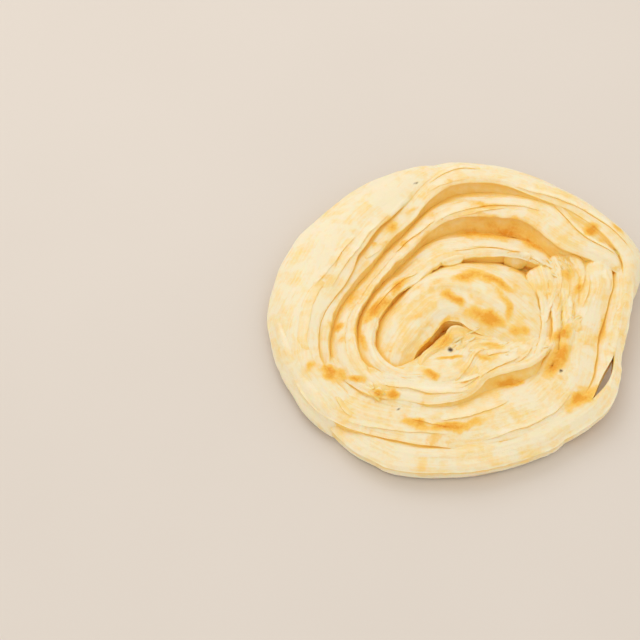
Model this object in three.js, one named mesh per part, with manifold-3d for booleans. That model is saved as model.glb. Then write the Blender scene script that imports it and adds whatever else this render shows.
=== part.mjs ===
// A coiled, flaky flatbread: a thin, layered rope of dough wound into a disc, pressed and fried.
// Its turns have opened like petals. Each turn is a fold: a strip that climbs from a low back edge
// to a broken lip and drops away below it, with its back edge under the lip of the next turn out.
//
// Millimetres, +Z up. The origin is the middle of the underside and -Y is the bread's near side.
// Angles are degrees, anticlockwise from +X seen from above. The folds are placed about the
// middle of the coil, and the finished bread is then moved so that its own middle is the origin.

import * as THREE from "three";
import { mergeVertices } from "three/addons/utils/BufferGeometryUtils.js";
import Module from "manifold-3d";

// The pressed middle that carries the folds: its height, and its radii once round from +X
const CORE_HEIGHT = 9;
const CORE_RADII = [82, 94, 93, 91, 87, 86, 85, 83, 83, 80, 79, 79, 82];

// The folds. `lip` is the radius of the broken edge about `about`, `top` its height, `width` how
// far the fold reaches back from it, `foot` the height of its back edge, `drop` the height of the
// wall below the lip and `lean` how far that wall runs out at its foot. `crown` is the rise of
// the back, and a larger `shoulder` keeps it level for longer. A list holds values at evenly
// spaced places from the angle `from` to the angle `to`. A fold that faces in has its lip on the
// side of the coil's middle.
const FOLDS = {
  lowRibbon: {
    from: 212, to: 386, faces: "out",
    lip: [80.5, 87.5, 89, 86, 85, 85.5, 87.5, 83.5, 90, 99.5],
    top: [5, 5, 5, 5, 5, 6, 9, 12, 16, 17],
    width: [14, 18, 18, 18, 18, 18, 14, 14, 15, 13],
    foot: [7, 8, 9, 9.5, 9.5, 9.5, 11, 11, 13, 14.5],
    drop: [4, 4, 4, 4, 4, 4, 3, 4, 6, 6],
    crown: 2, base: [1, 1, 1, 1, 1, 2, 5, 6, 5, 4],
  },
  nearBand: {
    from: 190, to: 390, faces: "out", taper: [0.12, 0.05],
    lip: [80, 86, 82, 76, 74, 74, 76, 74, 71, 80, 91],
    top: [10, 11, 12, 12, 12, 12, 12, 13, 14, 17, 18],
    width: [22, 26, 28, 32, 34, 32, 28, 20, 18, 18, 14],
    foot: [12, 12, 11, 11, 10, 10, 11, 12, 13, 14, 15],
    drop: [2, 2.5, 3, 3, 3, 3, 3.5, 4, 4, 4, 3],
    crown: 2, shoulder: 1.5,
  },
  rim: {
    from: 8, to: 206.5, about: [0, -4], sink: 2,
    lip: [83.5, 92, 88, 83, 83.5, 77, 60, 53, 50, 52, 57, 62, 66],
    top: [17, 20, 22, 22, 22, 22, 20.5, 19, 18.5, 18, 17, 15.5, 14],
    width: [9, 14, 16, 19.5, 19, 24, 34, 30, 26, 24, 20, 16, 14],
    foot: [12, 13, 13, 13, 13, 13, 12, 10, 8, 8, 8, 8, 8],
    drop: [2, 2, 2, 5, 10, 11, 8, 6, 5, 5, 4, 3, 2],
    lean: [0, 1, 2, 4, 6, 5, 2, 1, 1, 1, 1, 1, 1],
    base: [6, 4, 3, 3, 3, 3, 3, 3, 3, 3, 3, 3, 3],
    shoulder: 2.2,
  },
  outerTurn: {
    from: 82.5, to: 232, about: [0, -4], sink: 8,
    lip: [89, 81, 67, 61, 56.5, 55, 60, 66, 68, 66, 68],
    top: [19, 21, 22, 22, 21.5, 20, 18.5, 17, 16, 14, 12],
    width: [10, 18, 30, 32, 35, 36.5, 31, 22, 18, 19, 17],
    foot: [13.5, 13, 13, 12, 11, 10, 8, 6, 6, 6, 6],
    drop: [4, 5, 6, 6, 6, 5, 5, 4, 3, 2, 1],
    shoulder: 3,
  },
  edgeRibbon: {
    from: 176, to: 226, about: [0, -3], taper: [0.25, 0.25], sink: 1,
    lip: [84, 80, 78, 79],
    top: [12, 14, 14, 11],
    width: [5, 7.5, 8, 6],
    foot: 7, drop: 2, shoulder: 2,
  },
  mainTurn: {
    from: 14, to: 270, about: [0, -2], taper: [0.05, 0.12], sink: 4,
    lip: [88, 68, 67, 62, 54, 44, 40, 40, 43.5, 49, 52, 52, 49, 47],
    top: [18, 19, 19, 18.5, 18.5, 18.5, 18.5, 18, 17.5, 17, 16, 15, 14, 13],
    width: [8, 24, 24, 24, 24, 20, 15, 14, 15, 15, 14, 12, 10, 8],
    foot: [16, 18.5, 17.5, 12.5, 10, 10, 10, 10, 10, 10, 10, 10, 10, 10],
    drop: [5, 8, 9, 10, 10, 9, 8, 8, 7, 4, 2, 2, 2, 2],
    lean: [0, 4, 5, 5, 4, 2, 1, 1, 1, 1, 1, 1, 1, 1],
    crown: [1, 1.5, 2, 1.5, 1, 0.5, 0, 0, 0.5, 0.5, 1, 1, 1, 1],
    shoulder: 1.6,
  },
  innerTurn: {
    from: 22, to: 262, about: [0, -1],
    lip: [60, 49, 40, 33, 29, 26, 25, 27, 30, 36, 43, 43, 38, 36],
    top: [15, 16, 16.5, 16.5, 16.5, 16.5, 16.5, 16.5, 16.5, 16.5, 16, 15.5, 15, 14],
    width: [12, 18, 22, 24, 24, 20, 17, 16, 16, 14, 12, 10, 10, 8],
    drop: [4, 6, 7, 7, 7, 7, 7, 7, 6, 4, 2, 2, 2, 2],
    foot: 9, crown: 1, shoulder: 2,
  },
  nearMass: {
    from: 196, to: 350, faces: "out",
    lip: [64, 67, 64, 57, 54, 50, 43, 43, 48, 51, 55],
    top: [12, 13, 14, 14.5, 15, 15.5, 16, 16, 16, 15, 13],
    width: [10, 14, 20, 38, 42, 38, 31, 31, 30, 18, 14],
    drop: [1, 2, 3, 3, 3, 5, 6, 6, 6, 5, 2],
    lean: [1, 2, 2, 2, 2, 3, 5, 5, 5, 4, 2],
    foot: 13.5, crown: 1, shoulder: 1.5,
  },
  tangle: {
    from: -14, to: 35, faces: "out", taper: [0.2, 0.1], sink: 3,
    lip: [62, 66, 73, 77], top: [13.5, 14.5, 15.5, 15.5], width: [20, 22, 30, 32], foot: 13, drop: 2,
    crown: 0.5, shoulder: 1.5,
  },
  heart: {
    from: -24, to: 212, about: [0, -22],
    lip: [26, 23, 14.6, 12.2, 14, 14.1, 12.2, 13.2, 18, 25],
    top: [12, 14, 15.5, 16.5, 17, 17, 16, 15, 14, 12],
    width: [16, 26, 42, 50, 44, 36, 30, 29, 22, 14],
    drop: [2, 2, 2, 3, 4, 7, 8, 6, 4, 2],
    crown: [1, 1.5, 2, 3, 3, 3, 2, 2, 1.5, 1],
    foot: 9, shoulder: 4,
  },
  pith: {
    from: -10, to: 222, about: [0, -22], faces: "out", taper: [0.08, 0.08], sink: 1,
    lip: [24.5, 19, 13.8, 13, 12.2, 8.7, 8.2, 10, 18, 27],
    top: [12, 13.6, 15.4, 16.2, 16, 15.2, 14.6, 14.3, 14, 12.5],
    width: [12, 12, 11, 10, 10, 7, 6, 8, 14, 16],
    foot: [11, 12, 13.5, 14, 14.2, 14, 13.5, 13, 12.5, 11.5],
    crown: 0.4, drop: 6, shoulder: 1.5,
  },
};
// What a fold has where it doesn't say. `taper` gives the shares of its length in which its start
// and its end thin out, `sink` how far they go down meanwhile, and `base` is the height of its
// underside.
const PLAIN_FOLD = {
  about: [0, 0], faces: "in", foot: 8, drop: 8, lean: 0, crown: 1.2, shoulder: 2.2,
  taper: [0.12, 0.12], sink: 6, base: 3,
};
const END = 0.06; // how full a fold still is where it ends
const LEAST_FOOT = 2; // no back edge comes closer to the floor than this
const SIDE = { bulge: 0.7, tuck: 3 }; // how far the side below a back edge swells out, then tucks in
const STEP = 7; // degrees between two sections of a fold

// The turns lie closest on the right, where they show as fine upright layers side by side.
const LAYER_RADII = [37.2, 42.6, 48, 53.4];
const LAYER_RISE = 0.5; // how much higher each is than the next one in

// Flakes of crust that lie on a fold like tiles. Each has its free edge toward the fold's lip,
// `behind` says how far from it at either end, and it thins out toward both ends.
const FLAKES = [
  { on: "rim", from: 24, to: 66, behind: [6, 2], width: 5 },
  { on: "rim", from: 70, to: 128, behind: [11, 3], width: 7 },
  { on: "mainTurn", from: 22, to: 50, behind: [10, 16], width: 4 },
  { on: "mainTurn", from: 52, to: 98, behind: [9, 2], width: 8 },
  { on: "mainTurn", from: 122, to: 176, behind: [2, 7], width: 6 },
  { on: "innerTurn", from: 40, to: 88, behind: [3, 8], width: 7 },
  { on: "nearMass", from: 226, to: 276, behind: [8, 3], width: 8 },
  { on: "nearMass", from: 284, to: 330, behind: [3, 8], width: 8 },
  { on: "nearBand", from: 262, to: 296, behind: [13, 19], width: 8 },
];
const FLAKE = { lift: 0.8, depth: 1.5, taper: [0.4, 0.4] };

// Torn shreds of crust: thin strips that curl up where a turn has split.
const SHREDS = [
  { at: [58, 20], spread: [9, 9], height: 15.2, count: 9, heading: 110 }, // the tangle on the right
  { at: [54, -5], spread: [8, 13], height: 15, count: 6, heading: 80 }, // below the tangle
  { at: [3, -20], spread: [7, 4], height: 15, count: 4, heading: 20 }, // beside the eye
];
const SHRED = { length: 9, width: 2.4, thickness: 1, curl: 1.4, parts: 6 };
const SHRED_SEED = 101;

// The rope's turns still show underneath as a shallow spiral groove.
const GROOVE = { from: 14, to: 72, turns: 3, depth: 1.2, width: 5 };
// Light shows through where the low ribbon has come away from the near band.
const GAP = { from: -38, to: -17, radius: 79.7, width: 3.6 };
const LARGE = 300; // wider than the bread
const TOLERANCE = 0.02; // edges shorter than this may close up where solids are joined

const wasm = await Module();
wasm.setup();

const radians = (degrees) => (degrees * Math.PI) / 180;

function polar(r, degrees, z, [x, y] = [0, 0]) {
  const angle = radians(degrees);
  return new THREE.Vector3(x + r * Math.cos(angle), y + r * Math.sin(angle), z);
}

// A value along a fold, by a smooth curve through its stations. One number is the same all along.
function along(stations, share) {
  if (typeof stations === "number") return stations;
  const last = stations.length - 1;
  const at = Math.min(Math.max(share, 0), 1) * last;
  const i = Math.min(Math.floor(at), last - 1);
  const t = at - i;
  const [b, c] = [stations[i], stations[i + 1]];
  const a = stations[i - 1] ?? 2 * b - c;
  const d = stations[i + 2] ?? 2 * c - b;
  return b + 0.5 * t * (c - a + t * (2 * a - 5 * b + 4 * c - d + t * (3 * (b - c) + d - a)));
}

// How full a fold is: it grows out of its neighbours and sinks back into them.
function fullness(share, [start, end]) {
  const grown = Math.min(share / start, (1 - share) / end);
  return grown >= 1 ? 1 : Math.max(Math.sqrt(1 - (1 - grown) ** 2), END);
}

// Repeatable random numbers from 0 to 1, by the minimal standard generator.
function randomFrom(seed) {
  let state = seed;
  return () => {
    state = (state * 16807) % 2147483647;
    return state / 2147483647;
  };
}

// A closed surface from rings of points, each joined to the next, with both ends filled.
function skinOf(rings) {
  const count = rings[0].length;
  const points = rings.flat();
  const middle = (ring) => ring.reduce((sum, p) => sum.add(p), new THREE.Vector3()).divideScalar(count);
  const first = points.length;
  points.push(middle(rings[0]), middle(rings.at(-1)));
  const index = [];
  for (let j = 0; j < count; j++) {
    const k = (j + 1) % count;
    for (let i = 0; i + 1 < rings.length; i++) {
      const [a, b] = [i * count, (i + 1) * count];
      index.push(a + j, b + j, b + k, a + j, b + k, a + k);
    }
    const end = (rings.length - 1) * count;
    index.push(first, j, k, first + 1, end + k, end + j);
  }
  return { position: points.flatMap((p) => p.toArray()), index };
}

function solidOf({ position, index }) {
  const made = (triangles) =>
    new wasm.Manifold(
      new wasm.Mesh({
        numProp: 3,
        vertProperties: new Float32Array(position),
        triVerts: new Uint32Array(triangles),
        tolerance: TOLERANCE,
      }),
    );
  const solid = made(index);
  return solid.volume() > 0 ? solid : made(index.reverse());
}

function solidFrom(geometry) {
  geometry.deleteAttribute("normal");
  geometry.deleteAttribute("uv");
  const merged = mergeVertices(geometry);
  return solidOf({ position: [...merged.attributes.position.array], index: [...merged.index.array] });
}

// Height of a fold's back at a distance behind its lip.
function backHeight({ width, top, foot, crown, shoulder }, distance) {
  const t = distance / width;
  return top + 4 * crown * t * (1 - t) - (top - foot) * t ** shoulder;
}

// The section of a fold, from the foot of its wall over the lip and down its back:
// [distance behind the lip, height].
function sectionOf(sizes) {
  const { width, top, foot, drop, lean, base } = sizes;
  const back = [0.2, 0.45, 0.68, 0.86].map((t) => [t * width, backHeight(sizes, t * width)]);
  const low = Math.min(base, foot - 3, top - drop - 1);
  return [
    [0.1 * width - lean, low],
    [-lean, top - drop],
    [-0.35 * lean + 0.3, top - 0.6 * drop],
    [0, top - 0.15 * drop],
    [0.05 * width, top],
    ...back,
    [width, foot],
    [width + SIDE.bulge, 0.5 * (foot + low)],
    [width - Math.min(SIDE.tuck, 0.3 * width), low],
  ];
}

// The sizes of a fold's section at a share of its length
function sizesAt(fold, share) {
  const full = fullness(share, fold.taper);
  const sunk = (1 - full) * fold.sink;
  const value = (name) => along(fold[name], share);
  const foot = Math.max(value("foot") - sunk, LEAST_FOOT);
  return {
    lip: value("lip"),
    width: value("width") * (0.4 + 0.6 * full),
    top: Math.max(value("top") - sunk, foot),
    foot,
    drop: value("drop") * full,
    lean: value("lean") * full,
    crown: value("crown") * full,
    shoulder: fold.shoulder,
    base: value("base"),
  };
}

// A strip along part of a fold, from its sizes to its section at each angle:
// [distance behind the lip, height].
function stripOn(fold, from, to, sectionAt) {
  const outward = fold.faces === "in" ? 1 : -1;
  const count = Math.ceil((to - from) / STEP);
  const rings = [];
  for (let i = 0; i <= count; i++) {
    const angle = from + ((to - from) * i) / count;
    const sizes = sizesAt(fold, (angle - fold.from) / (fold.to - fold.from));
    const section = sectionAt(sizes, i / count);
    rings.push(section.map(([n, z]) => polar(sizes.lip + outward * n, angle, z, fold.about)));
  }
  return solidOf(skinOf(rings));
}

function foldOf(given) {
  const fold = { ...PLAIN_FOLD, ...given };
  return stripOn(fold, fold.from, fold.to, sectionOf);
}

function flakeOf({ on, from, to, behind, width }) {
  const { lift, depth, taper } = FLAKE;
  const profile = [[0, lift], [0.5, 0.7 * lift], [1, -0.1], [0.8, -depth], [0.1, -depth]];
  return stripOn({ ...PLAIN_FOLD, ...FOLDS[on] }, from, to, (sizes, share) => {
    const full = fullness(share, taper);
    return profile.map(([across, rise]) => {
      const distance = along(behind, share) + across * width * full;
      return [distance, backHeight(sizes, distance) + (rise > 0 ? rise * full : rise)];
    });
  });
}

function layerOf(r, i) {
  return foldOf({
    from: -40 - 4 * i, to: 40 - 2 * i,
    lip: [r + 4, r + 1, r, r + 1, r + 5],
    top: [12.5, 13.5, 14, 14, 13].map((z) => z + LAYER_RISE * i),
    width: 8, foot: 12, drop: 1.5, crown: 0.4, shoulder: 1.6, taper: [0.4, 0.4],
  });
}

// One shred: a flat strip with pointed ends that arches, bends and twists along its length.
function shredOf(size, twist, bend) {
  const { length, width, thickness, curl, parts } = SHRED;
  const rings = [];
  for (let i = 0; i <= parts; i++) {
    const t = (2 * i) / parts - 1;
    const half = 0.5 * width * size * Math.sqrt(1.05 - t * t);
    const arch = curl * size * (0.5 - t * t);
    const middle = new THREE.Vector3(0.5 * length * size * t, length * bend * t * t, arch);
    const corners = [[-half, 0], [0, -0.5 * thickness], [half, 0], [0, 0.5 * thickness]];
    const twisted = new THREE.Matrix4().makeRotationX(twist * t).setPosition(middle);
    rings.push(corners.map(([y, z]) => new THREE.Vector3(0, y, z).applyMatrix4(twisted)));
  }
  return rings;
}

function shredsOf({ at, spread, height, count, heading }, seed) {
  const random = randomFrom(seed);
  const either = (amount) => amount * (2 * random() - 1);
  return Array.from({ length: count }, () => {
    const rings = shredOf(0.7 + 0.6 * random(), either(0.9), either(0.25));
    const place = new THREE.Matrix4().makeRotationZ(radians(heading + either(30)));
    place.setPosition(at[0] + either(spread[0]), at[1] + either(spread[1]), height + either(1.2));
    return solidOf(skinOf(rings.map((ring) => ring.map((p) => p.applyMatrix4(place)))));
  });
}

// The core is widest a little above the floor: [share of the radius, height].
function core() {
  const side = [[0.6, -2], [0.94, -2], [0.98, 2], [0.95, 5]];
  const levels = [...side, [0.8, CORE_HEIGHT], [0.3, CORE_HEIGHT]];
  const rings = levels.map(([scale, z]) => {
    const ring = [];
    for (let a = 0; a < 360; a += 2 * STEP) ring.push(polar(along(CORE_RADII, a / 360) * scale, a, z));
    return ring;
  });
  return solidOf(skinOf(rings));
}

function spiralGroove() {
  const { from, to, turns, depth, width } = GROOVE;
  const rings = [];
  const count = Math.round((turns * 360) / (2 * STEP));
  for (let i = 0; i <= count; i++) {
    const share = i / count;
    const r = from + (to - from) * share;
    const deep = depth * Math.sqrt(fullness(share, [0.1, 0.1]));
    const section = [[-0.5 * width, -1], [0, deep], [0.5 * width, -1]];
    rings.push(section.map(([n, z]) => polar(r + n, 360 * turns * share, z)));
  }
  return solidOf(skinOf(rings));
}

// A slit that follows the turns and is pointed at both ends.
function edgeGap() {
  const { from, to, radius, width } = GAP;
  const corners = 24;
  const ringAt = (z) =>
    Array.from({ length: corners }, (_, i) => {
      const around = (2 * Math.PI * i) / corners;
      const angle = 0.5 * (from + to) + 0.5 * (to - from) * Math.cos(around);
      return polar(radius + 0.5 * width * Math.sin(around) ** 3, angle, z);
    });
  return solidOf(skinOf([ringAt(-1), ringAt(40)]));
}

// The folds, layers, flakes and shreds as one body on the core. A loose scrap is dropped.
function joined() {
  const solids = [
    core(),
    ...Object.values(FOLDS).map(foldOf),
    ...LAYER_RADII.map(layerOf),
    ...FLAKES.map(flakeOf),
    ...SHREDS.flatMap((place, i) => shredsOf(place, SHRED_SEED + i)),
  ];
  const bodies = wasm.Manifold.union(solids).decompose();
  return bodies.sort((a, b) => b.volume() - a.volume())[0];
}

function flatbread() {
  const belowFloor = solidFrom(new THREE.BoxGeometry(LARGE, LARGE, 40).translate(0, 0, -20));
  const cutters = [belowFloor, spiralGroove(), edgeGap()];
  const cut = cutters.reduce((rest, cutter) => rest.subtract(cutter), joined());
  const bread = cut.simplify(TOLERANCE);
  const { min, max } = bread.boundingBox();
  return bread.translate(-0.5 * (min[0] + max[0]), -0.5 * (min[1] + max[1]), 0);
}

function meshOf(name, solid, material) {
  const { vertProperties, triVerts } = solid.getMesh();
  const geometry = new THREE.BufferGeometry()
    .setAttribute("position", new THREE.BufferAttribute(vertProperties, 3))
    .setIndex(new THREE.BufferAttribute(triVerts, 1));
  geometry.computeVertexNormals();
  const mesh = new THREE.Mesh(geometry, material);
  mesh.name = name;
  return mesh;
}

const crust = new THREE.MeshStandardMaterial({ color: 0xf3dfae, roughness: 0.6, metalness: 0 });
const bread = new THREE.Group();
bread.add(meshOf("paratha", flatbread(), crust));
export default bread;
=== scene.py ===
"""The looks of a paratha: a coiled, flaky flatbread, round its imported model.

The bread is a rope of thinly layered dough, wound into a disc, pressed and fried, and its turns
have opened like petals. Each turn is a fold: a strip that climbs from a low back edge to a broken
lip and drops away below it. The folds here have the places and sizes that they have in the CAD
model, with the relief that it leaves out: thin layers, ledges, fibres, blisters, and most of the
flakes and shreds.

The bread's own sizes are in millimetres and its angles in degrees, anticlockwise from +X seen
from above, about the middle of the coil. Blender's objects are in metres.
"""

import math

import bmesh
import bpy
import numpy as np
from mathutils import Matrix, Vector
from mathutils.bvhtree import BVHTree


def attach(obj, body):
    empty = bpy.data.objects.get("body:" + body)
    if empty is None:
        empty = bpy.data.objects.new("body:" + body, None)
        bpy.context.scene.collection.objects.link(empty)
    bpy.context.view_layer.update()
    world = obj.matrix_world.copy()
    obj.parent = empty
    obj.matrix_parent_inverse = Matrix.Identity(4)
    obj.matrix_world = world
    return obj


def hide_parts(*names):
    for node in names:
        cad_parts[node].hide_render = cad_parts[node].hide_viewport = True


MM = 0.001
NODE = "paratha"

# The pressed middle that carries the folds: its height, and its radii once round from +X. Its
# skin has rings under it, then rings at these shares of the radius and heights.
CORE_HEIGHT = 9
CORE_RADII = [82, 94, 93, 91, 87, 86, 85, 83, 83, 80, 79, 79, 82]
CORE_POINTS = 200
CORE_UNDER = dict(first=0.01, last=0.94, rings=44)
CORE_OVER = [(0.97, 1), (0.98, 2), (0.97, 3.5), (0.95, 5), (0.8, CORE_HEIGHT), (0.3, CORE_HEIGHT)]

# The folds. `lip` is the radius of the broken edge about `about`, `top` its height, `width` how
# far the fold reaches back from it, `foot` the height of its back edge, `drop` the height of the
# wall below the lip and `lean` how far that wall runs out at its foot. `crown` is the rise of
# the back, and a larger `shoulder` keeps it level for longer. A list holds values at evenly
# spaced places from the first angle of `turn` to the second.
FOLDS = {
    "low_ribbon": dict(
        turn=(212, 386), outward=True,
        lip=[80.5, 87.5, 89, 86, 85, 85.5, 87.5, 83.5, 90, 99.5],
        top=[5, 5, 5, 5, 5, 6, 9, 12, 16, 17],
        width=[14, 18, 18, 18, 18, 18, 14, 14, 15, 13],
        foot=[7, 8, 9, 9.5, 9.5, 9.5, 11, 11, 13, 14.5],
        drop=[4, 4, 4, 4, 4, 4, 3, 4, 6, 6],
        crown=2, base=[1, 1, 1, 1, 1, 2, 5, 6, 5, 4],
    ),
    "near_band": dict(
        turn=(190, 390), outward=True, taper=(0.12, 0.05),
        lip=[80, 86, 82, 76, 74, 74, 76, 74, 71, 80, 91],
        top=[10, 11, 12, 12, 12, 12, 12, 13, 14, 17, 18],
        width=[22, 26, 28, 32, 34, 32, 28, 20, 18, 18, 14],
        foot=[12, 12, 11, 11, 10, 10, 11, 12, 13, 14, 15],
        drop=[2, 2.5, 3, 3, 3, 3, 3.5, 4, 4, 4, 3],
        crown=2, shoulder=1.5,
    ),
    "rim": dict(
        turn=(8, 206.5), about=(0, -4), sink=2,
        lip=[83.5, 92, 88, 83, 83.5, 77, 60, 53, 50, 52, 57, 62, 66],
        top=[17, 20, 22, 22, 22, 22, 20.5, 19, 18.5, 18, 17, 15.5, 14],
        width=[9, 14, 16, 19.5, 19, 24, 34, 30, 26, 24, 20, 16, 14],
        foot=[12, 13, 13, 13, 13, 13, 12, 10, 8, 8, 8, 8, 8],
        drop=[2, 2, 2, 5, 10, 11, 8, 6, 5, 5, 4, 3, 2],
        lean=[0, 1, 2, 4, 6, 5, 2, 1, 1, 1, 1, 1, 1],
        base=[6, 4, 3, 3, 3, 3, 3, 3, 3, 3, 3, 3, 3],
        shoulder=2.2,
    ),
    "outer_turn": dict(
        turn=(82.5, 232), about=(0, -4), sink=8,
        lip=[89, 81, 67, 61, 56.5, 55, 60, 66, 68, 66, 68],
        top=[19, 21, 22, 22, 21.5, 20, 18.5, 17, 16, 14, 12],
        width=[10, 18, 30, 32, 35, 36.5, 31, 22, 18, 19, 17],
        foot=[13.5, 13, 13, 12, 11, 10, 8, 6, 6, 6, 6],
        drop=[4, 5, 6, 6, 6, 5, 5, 4, 3, 2, 1],
        shoulder=3,
    ),
    "edge_ribbon": dict(
        turn=(176, 226), about=(0, -3), taper=(0.25, 0.25), sink=1,
        lip=[84, 80, 78, 79],
        top=[12, 14, 14, 11],
        width=[5, 7.5, 8, 6],
        foot=7, drop=2, shoulder=2,
    ),
    "main_turn": dict(
        turn=(14, 270), about=(0, -2), taper=(0.05, 0.12), sink=4,
        lip=[88, 68, 67, 62, 54, 44, 40, 40, 43.5, 49, 52, 52, 49, 47],
        top=[18, 19, 19, 18.5, 18.5, 18.5, 18.5, 18, 17.5, 17, 16, 15, 14, 13],
        width=[8, 24, 24, 24, 24, 20, 15, 14, 15, 15, 14, 12, 10, 8],
        foot=[16, 18.5, 17.5, 12.5, 10, 10, 10, 10, 10, 10, 10, 10, 10, 10],
        drop=[5, 8, 9, 10, 10, 9, 8, 8, 7, 4, 2, 2, 2, 2],
        lean=[0, 4, 5, 5, 4, 2, 1, 1, 1, 1, 1, 1, 1, 1],
        crown=[1, 1.5, 2, 1.5, 1, 0.5, 0, 0, 0.5, 0.5, 1, 1, 1, 1],
        shoulder=1.6,
    ),
    "inner_turn": dict(
        turn=(22, 262), about=(0, -1),
        lip=[60, 49, 40, 33, 29, 26, 25, 27, 30, 36, 43, 43, 38, 36],
        top=[15, 16, 16.5, 16.5, 16.5, 16.5, 16.5, 16.5, 16.5, 16.5, 16, 15.5, 15, 14],
        width=[12, 18, 22, 24, 24, 20, 17, 16, 16, 14, 12, 10, 10, 8],
        drop=[4, 6, 7, 7, 7, 7, 7, 7, 6, 4, 2, 2, 2, 2],
        foot=9, crown=1, shoulder=2,
    ),
    "near_mass": dict(
        turn=(196, 350), outward=True,
        lip=[64, 67, 64, 57, 54, 50, 43, 43, 48, 51, 55],
        top=[12, 13, 14, 14.5, 15, 15.5, 16, 16, 16, 15, 13],
        width=[10, 14, 20, 38, 42, 38, 31, 31, 30, 18, 14],
        drop=[1, 2, 3, 3, 3, 5, 6, 6, 6, 5, 2],
        lean=[1, 2, 2, 2, 2, 3, 5, 5, 5, 4, 2],
        foot=13.5, crown=1, shoulder=1.5,
    ),
    "tangle": dict(
        turn=(-14, 35), outward=True, taper=(0.2, 0.1), sink=3,
        lip=[62, 66, 73, 77], top=[13.5, 14.5, 15.5, 15.5], width=[20, 22, 30, 32], foot=13, drop=2,
        crown=0.5, shoulder=1.5,
    ),
    "heart": dict(
        turn=(-24, 212), about=(0, -22),
        lip=[26, 23, 14.6, 12.2, 14, 14.1, 12.2, 13.2, 18, 25],
        top=[12, 14, 15.5, 16.5, 17, 17, 16, 15, 14, 12],
        width=[16, 26, 42, 50, 44, 36, 30, 29, 22, 14],
        drop=[2, 2, 2, 3, 4, 7, 8, 6, 4, 2],
        crown=[1, 1.5, 2, 3, 3, 3, 2, 2, 1.5, 1],
        foot=9, shoulder=4,
    ),
    "pith": dict(
        turn=(-10, 222), about=(0, -22), outward=True, taper=(0.08, 0.08), sink=1,
        lip=[24.5, 19, 13.8, 13, 12.2, 8.7, 8.2, 10, 18, 27],
        top=[12, 13.6, 15.4, 16.2, 16, 15.2, 14.6, 14.3, 14, 12.5],
        width=[12, 12, 11, 10, 10, 7, 6, 8, 14, 16],
        foot=[11, 12, 13.5, 14, 14.2, 14, 13.5, 13, 12.5, 11.5],
        crown=0.4, drop=6, shoulder=1.5,
    ),
}
# What a fold has where it doesn't say. `outward` puts the lip on the fold's outer side. `taper`
# gives the shares of its length in which its start and its end thin out, and `sink` how far they
# go down meanwhile. `base` is the height of its underside.
PLAIN_FOLD = dict(
    about=(0, 0), outward=False, foot=8, drop=8, lean=0, crown=1.2, shoulder=2.2,
    taper=(0.12, 0.12), sink=6, base=3,
)
END = 0.06  # how full a fold still is where it ends
END_WIDTH = 0.4  # the share of its width that a fold keeps where it thins out
LEAST_FOOT = 2  # no back edge comes closer to the floor than this
UNDER_FOOT = 3  # a fold's underside lies at least this far below its back edge
UNDER_WALL = 1  # and this far below the foot of its wall
WALL_SHARE = 0.8  # how much of a drop is wall, below the lip's rounding
OVERHANG = 0.14  # how far a lip juts out over its wall, as a share of its drop
LIP_DEPTH = 0.1  # of a drop, in a lip's rounding
LIP_WIDTH = 0.05  # of a fold's width, in a lip's rounding
SIDE_BULGE = 1.4  # how far the side below a back edge swells out before it tucks in
SIDE_TUCK = 3  # how far it tucks in
TUCK_SHARE = 0.3  # or this share of the fold's width, if that is less

# The turns lie closest on the right, where they show as fine upright layers side by side. A
# layer's lip swings out from its radius toward its ends.
LAYER_RADII = [37.2, 42.6, 48, 53.4]
LAYER_SWING = [4, 1, 0, 1, 5]
LAYER_TOP = [12.5, 13.5, 14, 14, 13]
LAYER_RISE = 0.5  # how much higher each is than the next one in
LAYER_TURN = (-40, 40)
LAYER_TURN_STEP = (-4, -2)  # from each layer's turn to the next one's
PLAIN_LAYER = dict(width=8, foot=12, drop=1.5, crown=0.4, shoulder=1.6, taper=(0.4, 0.4))

# The rope's turns still show underneath as a shallow spiral groove, which fades in and out.
GROOVE = dict(start=14, end=72, turns=3, depth=1.2, half_width=1.75, fade=8)
# The slit where light shows between two turns: its cutter reaches over and under the bread.
GAP = dict(turn=(-38, -17), radius=79.7, width=3.6, points=64, reach=(-1, 40))
# The block that cuts off what is below the floor: half its side, and its depth
BELOW_FLOOR = dict(reach=150, depth=40)
ABOVE = 60  # a height above all of the bread

RING_STEP = 1.1  # between two sections of a fold, at its lip
POINT_STEP = 0.65  # between two points of a section
SIDE_STEP = 1.5  # the same on the side below the back edge

# The bumps of the surface. A row is their length, their width and their height. On a fold the
# length runs along it and the width across it.
LIP_SWAY = [(24, 1, 0.7), (8, 1, 0.45)]  # of a lip, in and out
LIP_SWELL = [(19, 1, 0.5)]  # of a lip, up and down
LIP_RAGS = [(2.8, 3, 0.32)]
LIP_RAGS_REACH = 1.2  # how far behind the lip they fade
BULGES = [(20, 9, 0.45)]
STREAKS = [(26, 2.4, 0.16), (13, 1.2, 0.09)]
LEDGES = [(48, 5, 0.42), (36, 3, 0.26)]
LAMINAE = [(24, 1.2, 0.30), (9, 0.8, 0.16)]  # on a wall, where the width is upright
FLAKE_RAGS = [(9, 1, 0.6), (3, 1, 0.25)]  # of a flake's free edge
DENTS = [(14, 14, 0.5), (5, 5, 0.25)]  # of the underside
PAN_MARKS = [(12, 12, 1), (5, 5, 0.6)]  # of its browning
SPOT_WARP = [(7, 7, 1.8), (2, 2, 0.7)]  # of the browned spots' outlines
SPOT_MOTTLE = [(3.5, 3.5, 0.35)]

# How strong each fold's relief is: a smooth, well pressed turn has little, torn layers much.
FLAKINESS = {
    "outer_turn": 0.45, "near_band": 0.4, "rim": 0.6, "low_ribbon": 0.7, "edge_ribbon": 0.6,
    "main_turn": 0.8, "heart": 0.9, "pith": 1.6, "tangle": 2,
}
PLAIN_FLAKINESS = 1.0
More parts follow.
